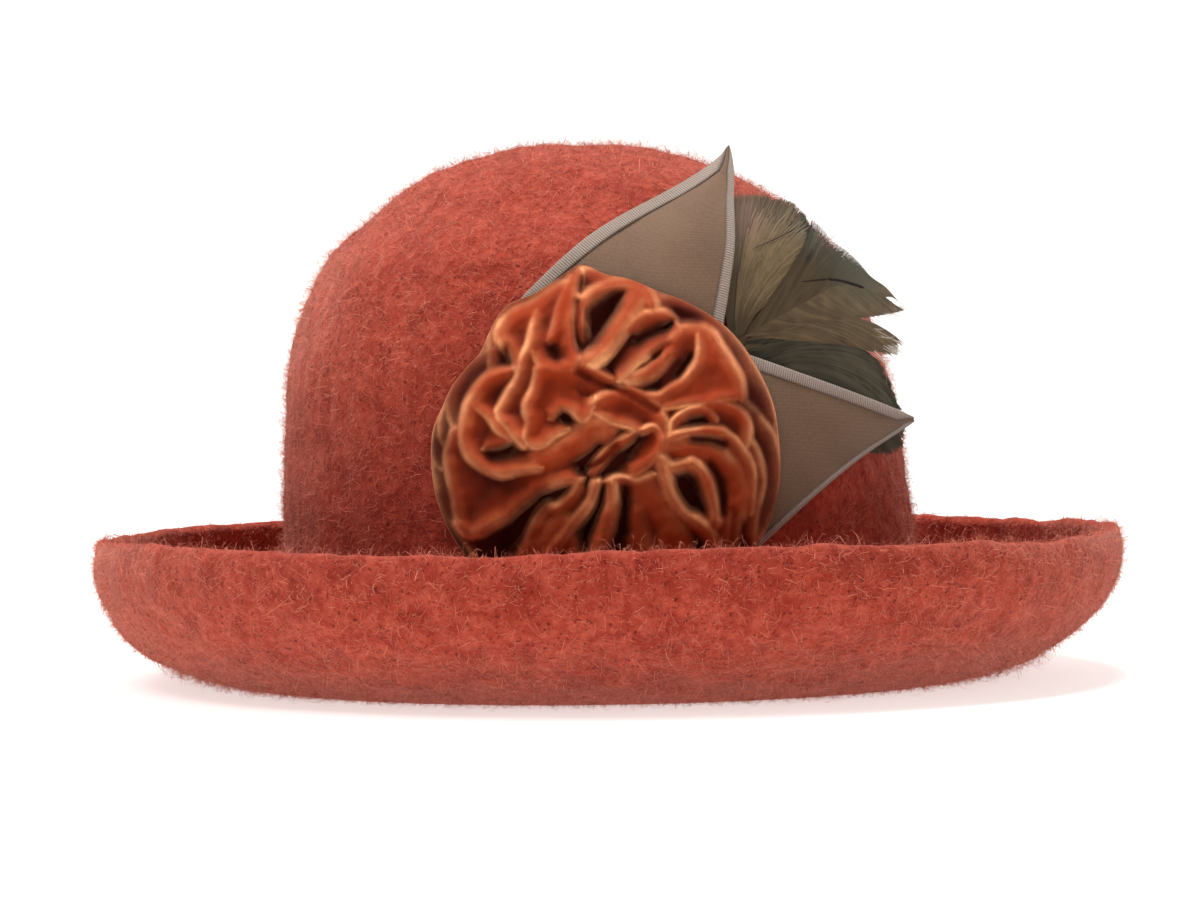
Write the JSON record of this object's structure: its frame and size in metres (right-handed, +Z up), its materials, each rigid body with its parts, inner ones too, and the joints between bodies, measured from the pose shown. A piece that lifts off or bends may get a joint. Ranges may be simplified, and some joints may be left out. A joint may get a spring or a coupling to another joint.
{
  "type": "cloche hat",
  "caption": "Thick felted wool hat with a domed crown and a brim rolled up all round, trimmed on one side with a gathered velvet rosette, folded ribbon points and feather plumes.",
  "frame": {"origin": "the middle of the hat's footprint, on the surface that it stands on", "axes": "+X towards the back of the hat, along its length; +Y towards the untrimmed side; +Z up"},
  "size_m": [0.333, 0.305, 0.1726],
  "materials": {
    "felt": "thick fulled wool, terracotta red, mottled with pale pink fibres and darker specks, matt and fuzzy",
    "velvet": "gathered rust-brown velvet with a pale sheen along its crests",
    "ribbon": "taupe ribbon with a paler cross-ribbed band along its edges, matt",
    "feather_light": "olive-grey feathers, softly barbed, with a faint sheen",
    "feather_dark": "dark olive feather with loose barbs"
  },
  "bodies": {
    "root": {"felt_body": "felt", "velvet_rosette": "velvet", "ribbon_point_upper": "ribbon", "ribbon_point_side": "ribbon", "plume_light": "feather_light", "plume_dark": "feather_dark"}
  },
  "joints": []
}
